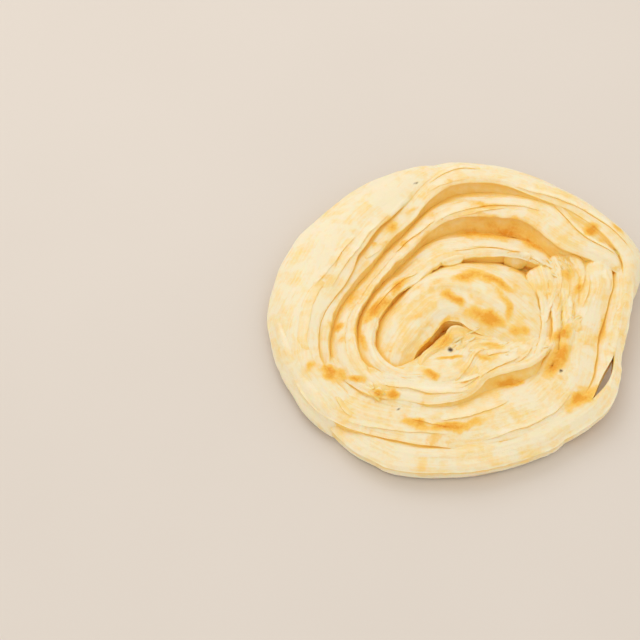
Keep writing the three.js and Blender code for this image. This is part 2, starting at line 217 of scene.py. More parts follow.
# How warm each fold's colour is, from pale cream to butter yellow
TONES = {
    "outer_turn": 0.12, "edge_ribbon": 0.15, "rim": 0.2, "low_ribbon": 0.2, "near_band": 0.25,
    "main_turn": 0.35, "inner_turn": 0.15, "near_mass": 0.3, "heart": 0.4, "pith": 0.8,
}
PLAIN_TONE = 0.4

LOOSE_DRAW = 5  # the seed of what is drawn at random for the loose layers
LOOSE_SEED = 7000  # the first seed of their noise
SEED_STEP = 10  # from one loose layer to the next

# Flakes of crust that lie on a fold like tiles, with their free edges toward its lip: the fold,
# the angles, how far behind the lip at either end and the width. The CAD model has them too.
FLAKES = [
    ("rim", 24, 66, 6, 2, 5), ("rim", 70, 128, 11, 3, 7), ("main_turn", 22, 50, 10, 16, 4),
    ("main_turn", 52, 98, 9, 2, 8), ("main_turn", 122, 176, 2, 7, 6),
    ("inner_turn", 40, 88, 3, 8, 7), ("near_mass", 226, 276, 8, 3, 8),
    ("near_mass", 284, 330, 3, 8, 8), ("near_band", 262, 296, 13, 19, 8),
]
FLAKE_RISE = 0.45  # how far their free edges stand up
FLAKE_TONES = (0, 0.4)
# How many finer ones each fold has besides: broad ones on the turns and torn strands on the
# right. `reach` is how far behind the lip they lie, as a share of the fold's width.
FINE_FLAKES = dict(
    counts={
        "low_ribbon": 4, "near_band": 4, "rim": 6, "outer_turn": 3, "main_turn": 6,
        "inner_turn": 6, "near_mass": 6,
    },
    length=(12, 60), width=(2, 7), rise=(0, 0.5), reach=(0.02, 0.55), tones=(0, 0.8),
)
STRANDS = dict(
    counts={"tangle": 14, "layer_0": 3, "layer_1": 3, "layer_2": 3},
    length=(8, 34), width=(2, 5), rise=(0.1, 0.45), reach=(0.0, 0.9), tones=(0, 0.8),
)
FLAKE_THICKNESS = 0.24
FLAKE_STEP = 1.8  # between two sections of a flake
FLAKE_TAPER = (0.4, 0.4)
FLAKE_END_WIDTH = 0.3  # the share of its width that a flake keeps at its ends
FLAKE_SLANT = 3  # the most by which a fine flake strays from its line behind the lip
FLAKE_SETBACK = 1.2  # the least distance from the lip to a flake's free edge
# A flake's section, from its free edge over its top to its root and back underneath: the shares
# of its width and of its rise, and how far each point lies in the bread
FLAKE_ACROSS = np.array([0, 0.3, 0.65, 1.0, 0.9, 0.5, 0.25, 0.0])
FLAKE_LIFTED = np.array([1, 0.75, 0.3, 0, 0, 0, 0, 0.3])
FLAKE_BURIED = np.array([0, 0, 0, 0.3, 0.8, 0.8, 0.8, 0.8])
FLAKE_TOP_POINTS = 4  # from the free edge to the root
STEEPEST_STEP = 1.6  # a flake isn't laid where the bread rises more than this between two points

# Loose leaves of pale crust: the middle [x, y], the length, the width, the heading and the rise.
# Then their section: the shares of the half width and of the rise, round from the left edge.
PATCHES = [
    (33.8, 32.5, 13, 5, 4, 1.4), (1, 30, 12, 5, 22, 0.9), (-38, -37, 12, 5, -50, 0.5),
]
PATCH_ACROSS = np.array([-1, -0.85, -0.4, 0, 0.4, 0.85, 1, 0.7, 0, -0.7])
PATCH_HEIGHT = np.array([0, 1, 1, 1, 1, 1, 0, -1.2, -1.2, -1.2])
PATCH_STEP = 0.9
PATCH_TONE = 0.3

# Torn ends: the middle [x, y] of each place, its spread, its count and its heading.
SHREDS = [
    dict(at=(58, 24), spread=(6, 6), count=14, heading=120),
    dict(at=(54, -12), spread=(6, 10), count=8, heading=80),
    dict(at=(3, -20), spread=(7, 4), count=10, heading=20),
    dict(at=(38, 31), spread=(8, 3), count=8, heading=-8),
    dict(at=(-45, -42), spread=(9, 4), count=6, heading=-40),
    dict(at=(22, -24), spread=(14, 3), count=8, heading=0),
]
SHRED_LENGTH = (3, 9)
SHRED_WIDTH = (1, 2.4)
SHRED_THICKNESS = 0.28
SHRED_SIDES = 6
SHRED_STEP = 1.2
SHRED_SCATTER = 0.6  # of its place's spread
SHRED_TURN = 16  # degrees by which its heading strays
SHRED_BEND = 0.7  # radians
SHRED_TILT = 0.3  # the most by which it leans to a side
SHRED_TIP = (0.1, 0.9)  # how far its tip stands up
SHRED_ROOT = 0.3  # how far its root goes in
SHRED_TONES = (0, 1)

# Browned spots: the middle [x, y], the length, the width, the heading and how brown.
SPOTS = [
    (-60, -35.4, 9, 9, 0, 1.0), (-67.7, -31.5, 6, 6, 0, 0.5), (-54.7, -36.2, 8, 7, 0, 0.5),
    (-37, 0.7, 21, 7, 42, 1.0), (-26.6, 14.3, 13, 5, 58, 0.7), (-48.3, 6, 11, 5, 80, 0.7),
    (-56.9, -8.4, 6, 6, 0, 0.7), (-54.6, -16.6, 6, 6, 0, 0.5), (-28.9, 49.9, 7, 7, 0, 0.7),
    (-37.3, 38.6, 4, 4, 0, 0.6), (-22.3, 39.3, 4, 4, 0, 0.6), (-19.2, 59.4, 10, 5, 20, 0.35),
    (-13.3, 44.4, 9, 4, 25, 0.4), (-9.1, 57.6, 7, 7, 0, 0.35), (17, 64.5, 18, 4, -9, 0.6),
    (8.5, 18.4, 18, 7.5, 17, 0.85), (20, 15.4, 22, 7, -39, 0.75), (0, 5, 14, 7, -47, 0.9),
    (14, -5.3, 21, 8, -25, 0.9), (25.7, 0, 16, 5, -82, 0.7), (-18, -5.7, 13, 5, 19, 0.5),
    (31.6, -13.3, 9, 6, 0, 0.8), (13.8, -27.6, 13, 4, -2, 0.7), (24, -39.3, 17, 5, 10, 1.0),
    (48.5, -28, 17, 8, 60, 1.0), (52, -14.3, 11, 7, 38, 0.8), (-19.3, -63, 13, 6, -13, 1.0),
    (-2.2, -63.7, 23, 5, 6, 0.95), (59, -48, 20, 6, 35, 0.85), (71.7, -7.5, 16, 5, 70, 0.7),
    (86, 47, 8, 5, -60, 0.7), (61.7, 11.2, 6, 6, 0, 0.8), (57.9, 22.7, 8, 8, 0, 0.6),
    (32, 25.5, 8, 6, -40, 0.6), (-47.3, -38.3, 8, 4, -30, 0.7), (-37.8, -46.2, 4, 4, 0, 0.8),
    (-31.6, -46.3, 7, 4.5, 0, 0.95), (-11.5, -37.6, 8, 5, -27, 0.7), (2.7, -35, 6, 5, 0, 0.4),
    (-44, -16.7, 16, 4.5, -70, 0.7), (71, 46.6, 8, 6, 0, 0.8), (76.8, 40.7, 6, 4, 0, 0.5),
    (-4.5, -17, 12, 6, 35, 0.75), (17, -21, 13, 4, -10, 0.6), (-2.7, -28, 11, 2.5, 0, 0.8),
    (30, 52, 34, 7, -22, 0.65), (44, 42, 22, 7, -32, 0.8), (20, 49, 34, 9, -6, 0.85),
    (8, 72, 26, 5, 2, 0.4), (-9, -15, 24, 3.5, 47, 1.0), (23, 5, 12, 5, -60, 0.6),
    (30, 12, 16, 7, 70, 0.3), (-8, 13, 12, 5, 45, 0.35),
]
SPOT_FADE = 1.7  # how far out a spot has faded, as a share of its half size
SPOT_RISE = 0.5  # how far the dough has puffed up under a fully brown spot
TOP_SIDE = 5  # spots and specks lie above this height
PAN_BROWN = 0.9  # how brown the underside is where it touched the pan
PAN_HEIGHT = (0.2, 1.4)  # it fades between these heights
# Charred specks: the middle [x, y] and the size.
SPECKS = [(-15.7, 75.9, 1.3), (-2.4, -22.4, 2.4), (-28, -54.8, 1.1), (49.6, -33.6, 1.6)]

# Linear colours
CREAM = (0.90, 0.79, 0.55)
BUTTER = (0.93, 0.67, 0.26)
# The paler colour of drier ridges, which also carries a painted rim highlight
DRY_AND_RIM_HIGHLIGHT = (0.94, 0.85, 0.64)
# Painted shade: the gold of creases and of covered walls, and the deeper gold of the deepest
# creases
PAINTED_SHADE_GOLD = (0.95, 0.63, 0.16)
PAINTED_DEEP_SHADE = (0.90, 0.49, 0.07)
TOASTED = (0.93, 0.57, 0.11)
BROWN = (0.85, 0.38, 0.03)
CHAR = (0.10, 0.05, 0.02)
FLOOR_DARK = (0.70, 0.63, 0.56)
FLOOR_LIGHT = (0.74, 0.67, 0.60)
LIGHT = (1, 0.98, 0.95)

SHARP = math.radians(50)  # edges bent more than this stay sharp
# Each point's share of open sky: the rays, their reach and how far off the skin they start, in
# metres
OPEN_RAYS = 14
OPEN_REACH = 0.016
OPEN_START = 0.0002

# The photo's view: its elevation, how far off the camera is, how high and how far to the side of
# the coil's middle it looks, in metres, and its lens and sensor in millimetres
ELEVATION = math.radians(55)
DISTANCE = 0.7357
LOOK_HEIGHT = 0.008
LOOK_ASIDE = 0.088 * DISTANCE
LENS = 84.375
SENSOR = 36

# The floor and the key light, in metres
FLOOR_REACH = 2
KEY_PLACE = (-0.45, 0.75, 0.95)
KEY_SIZE = 0.9
KEY_ENERGY = 3.3
SKY_STRENGTH = 0.93


def fold_settings():
    """Every fold of the bread by name, with its plain values filled in."""
    folds = {name: {**PLAIN_FOLD, **fold} for name, fold in FOLDS.items()}
    for i, radius in enumerate(LAYER_RADII):
        folds[f"layer_{i}"] = {
            **PLAIN_FOLD,
            **PLAIN_LAYER,
            "turn": [end + i * step for end, step in zip(LAYER_TURN, LAYER_TURN_STEP)],
            "lip": [radius + swing for swing in LAYER_SWING],
            "top": [top + LAYER_RISE * i for top in LAYER_TOP],
        }
    return folds


def along(stations, share):
    """Values along a fold, by a smooth curve through its stations."""
    if np.isscalar(stations):
        return np.full(share.shape, float(stations))
    knots = np.array(stations, float)
    ends = 2 * knots[[0, -1]] - knots[[1, -2]]
    knots = np.concatenate([ends[:1], knots, ends[1:]])
    last = len(stations) - 1
    at = np.clip(share, 0, 1) * last
    i = np.minimum(at.astype(int), last - 1)
    t = at - i
    a, b, c, d = (knots[i + k] for k in range(4))
    return b + 0.5 * t * (c - a + t * (2 * a - 5 * b + 4 * c - d + t * (3 * (b - c) + d - a)))


def fullness(share, taper):
    """How full a fold still is: it grows out of its neighbours and sinks back into them."""
    end = np.minimum(np.minimum(share / taper[0], (1 - share) / taper[1]), 1)
    return np.maximum(np.sqrt(1 - (1 - end) ** 2), END)


def lattice(i, j, seed):
    """A repeatable random number from -1 to 1 for each whole-numbered place."""
    mask = 0xFFFFFFFF
    mixed = (i.astype(np.int64) * 374761393 + j.astype(np.int64) * 668265263 + seed * 97531) & mask
    mixed = ((mixed ^ (mixed >> 13)) * 1274126177) & mask
    return (mixed ^ (mixed >> 16)) / mask * 2 - 1


def noise(x, y, seed):
    """Smooth repeatable noise from -1 to 1, with bumps one unit long and wide."""
    i, j = np.floor(x), np.floor(y)
    u, v = x - i, y - j
    u, v = u * u * (3 - 2 * u), v * v * (3 - 2 * v)
    low = lattice(i, j, seed) * (1 - u) + lattice(i + 1, j, seed) * u
    high = lattice(i, j + 1, seed) * (1 - u) + lattice(i + 1, j + 1, seed) * u
    return low * (1 - v) + high * v


def bumps(x, y, rows, seed):
    """The height of several rows of bumps, each of them noise with a seed of its own."""
    return sum(
        height * noise(x / length, y / width, seed + k)
        for k, (length, width, height) in enumerate(rows)
    )


def smooth_step(low, high, value):
    """0 up to `low` and 1 from `high` on, with a smooth rise between."""
    t = np.clip((value - low) / (high - low), 0, 1)
    return t * t * (3 - 2 * t)


def fold_section(w, points):
    """A fold's sections, from the foot of the wall over the lip and down the back and the side.
    Gives the distance behind the lip and the height at each point, and how much of a wall it is."""
    width, top, foot, drop, lean = (w[k][:, None] for k in ("width", "top", "foot", "drop", "lean"))
    crown, shoulder, base = w["crown"][:, None], w["shoulder"], w["base"][:, None]
    low = np.minimum(np.minimum(base, foot - UNDER_FOOT), top - drop - UNDER_WALL)
    q = np.linspace(0, 1, points["wall"])[None, :]
    wall_n = -lean * (1 - q) ** 1.4 + w["overhang"][:, None] * smooth_step(0.2, 1, q)
    wall_z = top - drop + q * WALL_SHARE * drop
    a = np.linspace(0, math.pi / 2, points["lip"] + 2)[None, 1:-1]
    lip_n = LIP_WIDTH * width * (1 - np.cos(a))
    lip_z = top - LIP_DEPTH * drop * (1 - np.sin(a))
    t = np.linspace(0, 1, points["back"])[None, :]
    back_n = (LIP_WIDTH + (1 - LIP_WIDTH) * t) * width
    back_z = top + 4 * crown * t * (1 - t) - (top - foot) * t**shoulder
    v = np.linspace(0, 1, points["side"] + 1)[None, 1:]
    tuck = np.minimum(SIDE_TUCK, TUCK_SHARE * width)
    side_n = width + SIDE_BULGE * np.sin(math.pi * v) - tuck * v**2
    side_z = foot - v * (foot - low)
    n = np.concatenate([0.1 * width - lean, wall_n, lip_n, back_n, side_n], axis=1)
    z = np.concatenate([low, wall_z, lip_z, back_z, side_z], axis=1)
    counts = (1, points["wall"], points["lip"], points["back"], points["side"])
    wall = np.repeat([1, 1, 0.4, 0, 1], counts)
    return n, z, np.broadcast_to(wall, n.shape)


def grid_normals(grid):
    """The outward direction at each point of a grid of rings."""
    across = np.roll(grid, -1, axis=1) - np.roll(grid, 1, axis=1)
    ahead = np.gradient(grid, axis=0)
    normal = np.cross(across, ahead)
    return normal / np.maximum(np.linalg.norm(normal, axis=2, keepdims=True), 1e-9)


def fold_grid(fold, flakiness, seed):
    """The rings of one fold with their relief, and the place of each point in the fold."""
    start, end = (math.radians(a) for a in fold["turn"])
    mean_lip = np.mean(fold["lip"])
    radius = mean_lip + (0 if fold["outward"] else np.mean(fold["width"]) / 2)
    count = math.ceil((end - start) * radius / RING_STEP)
    share = np.linspace(0, 1, count + 1)
    full = fullness(share, fold["taper"])
    sunk = (1 - full) * fold["sink"]
    stations = ("lip", "top", "width", "foot", "drop", "lean", "crown", "base")
    value = {k: along(fold[k], share) for k in stations}
    s = share * (end - start) * mean_lip
    foot = np.maximum(value["foot"] - sunk, LEAST_FOOT)
    swell = bumps(s, 0 * s, LIP_SWELL, seed + 12)
    w = dict(
        width=value["width"] * (END_WIDTH + (1 - END_WIDTH) * full),
        top=np.maximum(value["top"] - sunk + full * swell, foot),
        foot=foot,
        drop=value["drop"] * full,
        lean=value["lean"] * full,
        crown=value["crown"] * full,
        overhang=OVERHANG * value["drop"] * full,
        shoulder=fold["shoulder"],
        base=value["base"],
    )
    points = dict(
        wall=math.ceil(max(value["drop"]) / POINT_STEP) + 2,
        lip=2,
        back=math.ceil(max(value["width"]) / POINT_STEP) + 2,
        side=math.ceil(max(value["foot"]) / SIDE_STEP),
    )
    n, z, wall = fold_section(w, points)
    angle = start + (end - start) * share[:, None]
    lip = value["lip"][:, None] + bumps(s, 0 * s, LIP_SWAY, seed)[:, None] * full[:, None]
    r = lip - n if fold["outward"] else lip + n
    x, y = fold["about"]
    grid = np.stack([x + r * np.cos(angle), y + r * np.sin(angle), z], axis=2)
    relief = fold_relief(s[:, None], n, z, wall, flakiness, seed) * full[:, None]
    normal = grid_normals(grid) * (-1 if fold["outward"] else 1)
    edge = np.ones(n.shape)
    edge[:, [0, -1]] = 0
    grid = grid + normal * (relief * edge)[:, :, None]
    return grid, dict(along=np.broadcast_to(s[:, None], n.shape), across=n, wall=wall)


def fold_relief(s, n, z, wall, flakiness, seed):
    """How far the surface stands out of the smooth fold at each point."""
    bulges = bumps(s, n, BULGES, seed + 2)
    streaks = bumps(s, n, STREAKS, seed + 3)
    ledges = sum(
        height * smooth_step(-0.12, 0.2, noise(s / length, n / width, seed + 5 + k))
        for k, (length, width, height) in enumerate(LEDGES)
    )
    laminae = bumps(s, z, LAMINAE, seed + 8)
    rags = bumps(s, n, LIP_RAGS, seed + 10) * np.exp(-np.abs(n) / LIP_RAGS_REACH)
    fine = (1 - wall) * (streaks + ledges) + wall * laminae + rags
    return bulges * (1 - wall) + flakiness * fine


def ring_faces(rings, points):
    """Faces of a closed skin: quads from ring to ring, and a fan over each end."""
    j = np.arange(points)
    k = (j + 1) % points
    rows = np.arange(rings - 1)[:, None] * points
    quads = np.stack([rows + j, rows + points + j, rows + points + k, rows + k], axis=2)
    end = (rings - 1) * points
    first, last = rings * points, rings * points + 1
    fan_in = np.stack([0 * j + first, j, k], axis=1)
    fan_out = np.stack([0 * j + last, end + k, end + j], axis=1)
    return quads.reshape(-1, 4).tolist() + fan_in.tolist() + fan_out.tolist()


def skin(name, grid, place=None, tone=PLAIN_TONE):
    """A closed mesh object from a grid of rings, faces out. Each corner keeps its place in the
    fold, or in the bread where there is no fold, and the tone."""
    rings, points = grid.shape[:2]
    ends = np.stack([grid[0].mean(0), grid[-1].mean(0)])
    verts = np.concatenate([grid.reshape(-1, 3), ends])
    mesh = bpy.data.meshes.new(name)
    mesh.from_pydata((verts * MM).tolist(), [], ring_faces(rings, points))
    if signed_volume(mesh) < 0:
        mesh.flip_normals()
    values = np.zeros((len(verts), 4), np.float32)
    values[:, 3] = tone
    if place:
        for axis, key in enumerate(("along", "across", "wall")):
            values[: rings * points, axis] = place[key].reshape(-1)
    else:
        values[:, :2] = verts[:, :2]
    corner = np.zeros(len(mesh.loops), np.int32)
    mesh.loops.foreach_get("vertex_index", corner)
    attribute = mesh.attributes.new("fold_place", "FLOAT_COLOR", "CORNER")
    attribute.data.foreach_set("color", values[corner].ravel())
    return bpy.data.objects.new(name, mesh)


def mesh_arrays(mesh):
    """A mesh's points, and its triangles by point."""
    mesh.calc_loop_triangles()
    points = np.zeros(len(mesh.vertices) * 3, np.float32)
    mesh.vertices.foreach_get("co", points)
    triangles = np.zeros(len(mesh.loop_triangles) * 3, np.int32)
    mesh.loop_triangles.foreach_get("vertices", triangles)
    return points.reshape(-1, 3).astype(float), triangles.reshape(-1, 3)


def signed_volume(mesh):
    """A mesh's volume, which is negative where its faces look in."""
    points, triangles = mesh_arrays(mesh)
    a, b, c = (points[triangles[:, k]] for k in range(3))
    return np.einsum("ij,ij->i", a, np.cross(b, c)).sum() / 6


def core_grid():
    """The core, from the middle of its uneven underside round its edge to its flat top."""
    angle = np.linspace(0, 2 * math.pi, CORE_POINTS, endpoint=False)
    radius = along(CORE_RADII, angle / (2 * math.pi))
    rings = []
    for share in np.linspace(CORE_UNDER["first"], CORE_UNDER["last"], CORE_UNDER["rings"]):
        r = radius * share
        x, y = r * np.cos(angle), r * np.sin(angle)
        rings.append(np.stack([x, y, underside(r, angle)], axis=1))
    for share, z in CORE_OVER:
        r = radius * share
        rings.append(np.stack([r * np.cos(angle), r * np.sin(angle), 0 * r + z], axis=1))
    return np.stack(rings)


def underside(r, angle):
    """Height of the underside, which rests on its high places and is grooved between the turns."""
    start, end, turns, fade = (GROOVE[k] for k in ("start", "end", "turns", "fade"))
    turn = (r - start) / (end - start) * turns - angle / (2 * math.pi)
    away = np.abs(turn - np.round(turn)) * (end - start) / turns
    inside = smooth_step(start - fade, start, r) * (1 - smooth_step(end, end + fade, r))
    groove = GROOVE["depth"] * np.exp(-((away / GROOVE["half_width"]) ** 2)) * inside
    dents = bumps(r * np.cos(angle), r * np.sin(angle), DENTS, 11)
    return np.maximum(groove + dents, 0)


def prism_grid(outline, low, high):
    """An upright prism over an outline of [x, y] points."""
    return np.stack([np.column_stack([outline, np.full(len(outline), z)]) for z in (low, high)])


def gap_grid():
    """The gap: a slit that follows the turns and is pointed at both ends."""
    round_it = np.linspace(0, 2 * math.pi, GAP["points"], endpoint=False)
    start, end = (math.radians(a) for a in GAP["turn"])
    angle = (start + end) / 2 + (end - start) / 2 * np.cos(round_it)
    r = GAP["radius"] + GAP["width"] / 2 * np.sin(round_it) ** 3
    return prism_grid(np.column_stack([r * np.cos(angle), r * np.sin(angle)]), *GAP["reach"])


def boolean(target, others, operation):
    """Joins or cuts the target with the others, which are then removed."""
    group = bpy.data.collections.new("operands")
    bpy.context.scene.collection.children.link(group)
    for other in others:
        group.objects.link(other)
    modifier = target.modifiers.new("boolean", "BOOLEAN")
    modifier.operation = operation
    modifier.operand_type = "COLLECTION"
    modifier.collection = group
    modifier.solver = "MANIFOLD"
    shown = bpy.context.evaluated_depsgraph_get()
    target.data = bpy.data.meshes.new_from_object(target.evaluated_get(shown))
    target.modifiers.clear()
    for other in others:
        bpy.data.objects.remove(other)
    bpy.data.collections.remove(group)


def keep_largest_body(mesh):
    """Drops loose scraps and sealed hollows."""
    whole = bmesh.new()
    whole.from_mesh(mesh)
    left = set(whole.verts)
    bodies = []
    while left:
        bodies.append(body_of(next(iter(left))))
        left -= bodies[-1]
    bodies.sort(key=len)
    bmesh.ops.delete(whole, geom=[vert for body in bodies[:-1] for vert in body], context="VERTS")
    whole.to_mesh(mesh)
    whole.free()


def body_of(vert):
    """Every point that edges join to one point."""
    found = {vert}
    front = [vert]
    while front:
        here = front.pop()
        new = {edge.other_vert(here) for edge in here.link_edges} - found
        found |= new
        front.extend(new)
    return found


def top_height(bread):
    """A function that gives the height of the bread's top at [x, y] points."""
    points, triangles = mesh_arrays(bread.data)
    tree = BVHTree.FromPolygons((points / MM).tolist(), triangles.tolist())
    down = Vector((0, 0, -1))

    def height(x, y):
        places = zip(x.ravel(), y.ravel())
        found = [tree.ray_cast(Vector((a, b, ABOVE)), down)[0] for a, b in places]
        return np.array([0.0 if hit is None else hit.z for hit in found]).reshape(x.shape)

    return height


def random_flake(fold, kind, draw):
    """The angles of a random flake, its distances behind the lip, its width and its rise."""
    start, end = fold["turn"]
    turn = math.degrees(draw.uniform(*kind["length"]) / np.mean(fold["lip"]))
    first = draw.uniform(start, max(end - turn, start + 1))
    last = min(first + turn, end)
    behind = draw.uniform(*kind["reach"]) * np.mean(fold["width"])
    slant = draw.uniform(-FLAKE_SLANT, FLAKE_SLANT)
    width = draw.uniform(*kind["width"])
    rise = draw.uniform(*kind["rise"])
    return first, last, behind - slant, behind + slant, width, rise


def flake_grid(height, fold, flake, seed):
    """One thin flake laid on a fold, or None where the fold is too steep for it."""
    first, last, behind_first, behind_last, width, rise = flake
    start, end = fold["turn"]
    length = math.radians(last - first) * np.mean(fold["lip"])
    count = int(length / FLAKE_STEP) + 4
    share = (np.linspace(first, last, count) - start) / (end - start)
    angle = np.radians(np.linspace(first, last, count))
    lip = along(fold["lip"], share)
    s = np.linspace(0, length, count)
    full = fullness(np.linspace(0, 1, count), FLAKE_TAPER)
    width = width * (FLAKE_END_WIDTH + (1 - FLAKE_END_WIDTH) * full)
    behind = np.linspace(behind_first, behind_last, count)
    free = np.maximum(behind + bumps(s, 0 * s, FLAKE_RAGS, seed), FLAKE_SETBACK)
    n = free[:, None] + width[:, None] * FLAKE_ACROSS
    r = lip[:, None] - n if fold["outward"] else lip[:, None] + n
    x = fold["about"][0] + r * np.cos(angle)[:, None]
    y = fold["about"][1] + r * np.sin(angle)[:, None]
    ground = height(x, y)
    step_along = np.abs(np.diff(ground, axis=0)).max()
    step_across = np.abs(np.diff(ground[:, :FLAKE_TOP_POINTS], axis=1)).max()
    if max(step_along, step_across) > STEEPEST_STEP:
        return None
    lift = rise * full * (1 + 0.5 * noise(s / 8, 0 * s, seed + 2))
    thick = FLAKE_THICKNESS * full[:, None] * (FLAKE_ACROSS < 1)
    z = ground + lift[:, None] * FLAKE_LIFTED + thick - FLAKE_BURIED
    wall = np.where(FLAKE_ACROSS == 0, 0.5, 0.0) + 0 * n
    return np.stack([x, y, z], axis=2), dict(along=s[:, None] + 0 * n, across=n, wall=wall)


def patch_grid(height, patch, seed):
    """One loose leaf of crust with a ragged outline."""
    x, y, length, width, heading, rise = patch
    heading = math.radians(heading)
    count = int(length / PATCH_STEP) + 3
    t = np.linspace(-1, 1, count)
    s = 0.5 * length * t
    half = 0.5 * width * np.sqrt(1.02 - t * t) * (1 + 0.25 * noise(s / 3, 0 * s, seed))
    drift = 0.12 * width * noise(s / 5, 0 * s, seed + 1)
    v = drift[:, None] + half[:, None] * PATCH_ACROSS
    px = x + s[:, None] * math.cos(heading) - v * math.sin(heading)
    py = y + s[:, None] * math.sin(heading) + v * math.cos(heading)
    ground = smooth_line(smooth_line(height(px, py)).T).T
    z = ground + rise * PATCH_HEIGHT
    return np.stack([px, py, z], axis=2), dict(along=s[:, None] + 0 * v, across=v, wall=0 * v)


def shred_grid(height, torn, draw):
    """One torn strip, which lies on the bread and turns up at its tip."""
    heading = math.radians(torn["heading"] + draw.normal(0, SHRED_TURN))
    at = np.array(torn["at"]) + draw.normal(0, SHRED_SCATTER, 2) * torn["spread"]
    length = draw.uniform(*SHRED_LENGTH)
    width = draw.uniform(*SHRED_WIDTH)
    t = np.linspace(0, 1, int(length / SHRED_STEP) + 4)
    bend = heading + draw.normal(0, SHRED_BEND) * (t - 0.5)
    step = length / (len(t) - 1)
    x = at[0] + np.cumsum(np.cos(bend)) * step
    y = at[1] + np.cumsum(np.sin(bend)) * step
    ground = height(x, y)
    if np.ptp(ground) > STEEPEST_STEP:
        return None
    tip = draw.uniform(*SHRED_TIP) * np.maximum(2 * t - 1, 0) ** 2
    middle = smooth_line(ground) + (tip - SHRED_ROOT * np.maximum(1 - 3 * t, 0))
    a = np.linspace(0, 2 * math.pi, SHRED_SIDES, endpoint=False)
    thin = 1 - 0.75 * np.abs(2 * t - 1) ** 2
    side = 0.5 * width * np.cos(a) * thin[:, None]
    tilt = draw.uniform(-SHRED_TILT, SHRED_TILT) * side
    px = x[:, None] - side * np.sin(bend)[:, None]
    py = y[:, None] + side * np.cos(bend)[:, None]
    z = middle[:, None] + (SHRED_THICKNESS * np.sin(a) * thin[:, None] + tilt)
    place = dict(along=(t * length)[:, None] + 0 * side, across=side, wall=0 * side)
    return np.stack([px, py, z], axis=2), place


def smooth_line(values):
    """The values along a line with sudden steps evened out."""
    for _ in range(4):
        padded = np.concatenate([values[:1], values, values[-1:]])
        values = 0.25 * padded[:-2] + 0.5 * padded[1:-1] + 0.25 * padded[2:]
    return values


def loose_layers(bread, folds):
    """The flakes, patches and shreds that lie on the bread."""
    height = top_height(bread)
    draw = np.random.default_rng(LOOSE_DRAW)
    layers = []

    def noise_seed():
        return LOOSE_SEED + SEED_STEP * len(layers)

    for name, *flake in FLAKES:
        found = flake_grid(height, folds[name], (*flake, FLAKE_RISE), noise_seed())
        if found:
            layers.append(skin("flake", *found, tone=draw.uniform(*FLAKE_TONES)))
    for kind in (FINE_FLAKES, STRANDS):
        for name in [name for name, count in kind["counts"].items() for _ in range(count)]:
            flake = random_flake(folds[name], kind, draw)
            found = flake_grid(height, folds[name], flake, noise_seed())
            if found:
                layers.append(skin("flake", *found, tone=draw.uniform(*kind["tones"])))
    for patch in PATCHES:
        layers.append(skin("patch", *patch_grid(height, patch, noise_seed()), tone=PATCH_TONE))
    for torn in SHREDS:
        for _ in range(torn["count"]):
            found = shred_grid(height, torn, draw)
            if found:
                layers.append(skin("shred", *found, tone=draw.uniform(*SHRED_TONES)))
    return layers


def build_bread():
    """The whole bread as one closed body that stands on the floor."""
    bread = skin("bread", core_grid())
    bpy.context.scene.collection.objects.link(bread)
    folds = fold_settings()
    parts = []
    for i, (name, fold) in enumerate(folds.items()):
        grid, place = fold_grid(fold, FLAKINESS.get(name, PLAIN_FLAKINESS), 100 * (i + 1))
        parts.append(skin(name, grid, place, TONES.get(name, PLAIN_TONE)))
    boolean(bread, parts, "UNION")
    boolean(bread, loose_layers(bread, folds), "UNION")
    corners = BELOW_FLOOR["reach"] * np.array([[-1, -1], [1, -1], [1, 1], [-1, 1]])
    below_floor = skin("below_floor", prism_grid(corners, -BELOW_FLOOR["depth"], 0))
    boolean(bread, [below_floor, skin("gap", gap_grid())], "DIFFERENCE")
    keep_largest_body(bread.data)
    return bread


def browning(points):
    """How brown each point is, from 0 to 1. Points are in the bread's millimetres."""
    x, y, z = points.T
    mottle = 1 + bumps(x, y, SPOT_MOTTLE, 25)
    x, y = x + bumps(x, y, SPOT_WARP, 21), y + bumps(x, y, SPOT_WARP, 23)
    brown = 0.0 * x
    for at_x, at_y, length, width, heading, strength in SPOTS:
        c, s = math.cos(math.radians(heading)), math.sin(math.radians(heading))
        u = ((x - at_x) * c + (y - at_y) * s) / (0.5 * length)
        v = ((y - at_y) * c - (x - at_x) * s) / (0.5 * width)
        faded = smooth_step(0, SPOT_FADE, np.hypot(u, v))
        brown = np.maximum(brown, strength * mottle * (1 - faded))
    marks = smooth_step(0.05, 0.8, bumps(x, y, PAN_MARKS, 31))
    under = PAN_BROWN * marks * (1 - smooth_step(*PAN_HEIGHT, z))
    return np.where(z > TOP_SIDE, np.clip(brown, 0, 1), under)


def char(points):
    """How charred each point is, from 0 to 1."""
    x, y, z = points.T
    dark = 0.0 * x
    for at_x, at_y, size in SPECKS:
        dark = np.maximum(dark, 1 - smooth_step(0.3, 0.7, np.hypot(x - at_x, y - at_y) / size))
    return np.where(z > TOP_SIDE, dark, 0)


def vertex_normals(points, triangles):
    """The outward direction at each point of a mesh."""
    a, b, c = (points[triangles[:, k]] for k in range(3))
    facing = np.cross(b - a, c - a)
    normals = np.zeros(points.shape)
    for k in range(3):
        np.add.at(normals, triangles[:, k], facing)
    return normals / np.maximum(np.linalg.norm(normals, axis=1, keepdims=True), 1e-20)


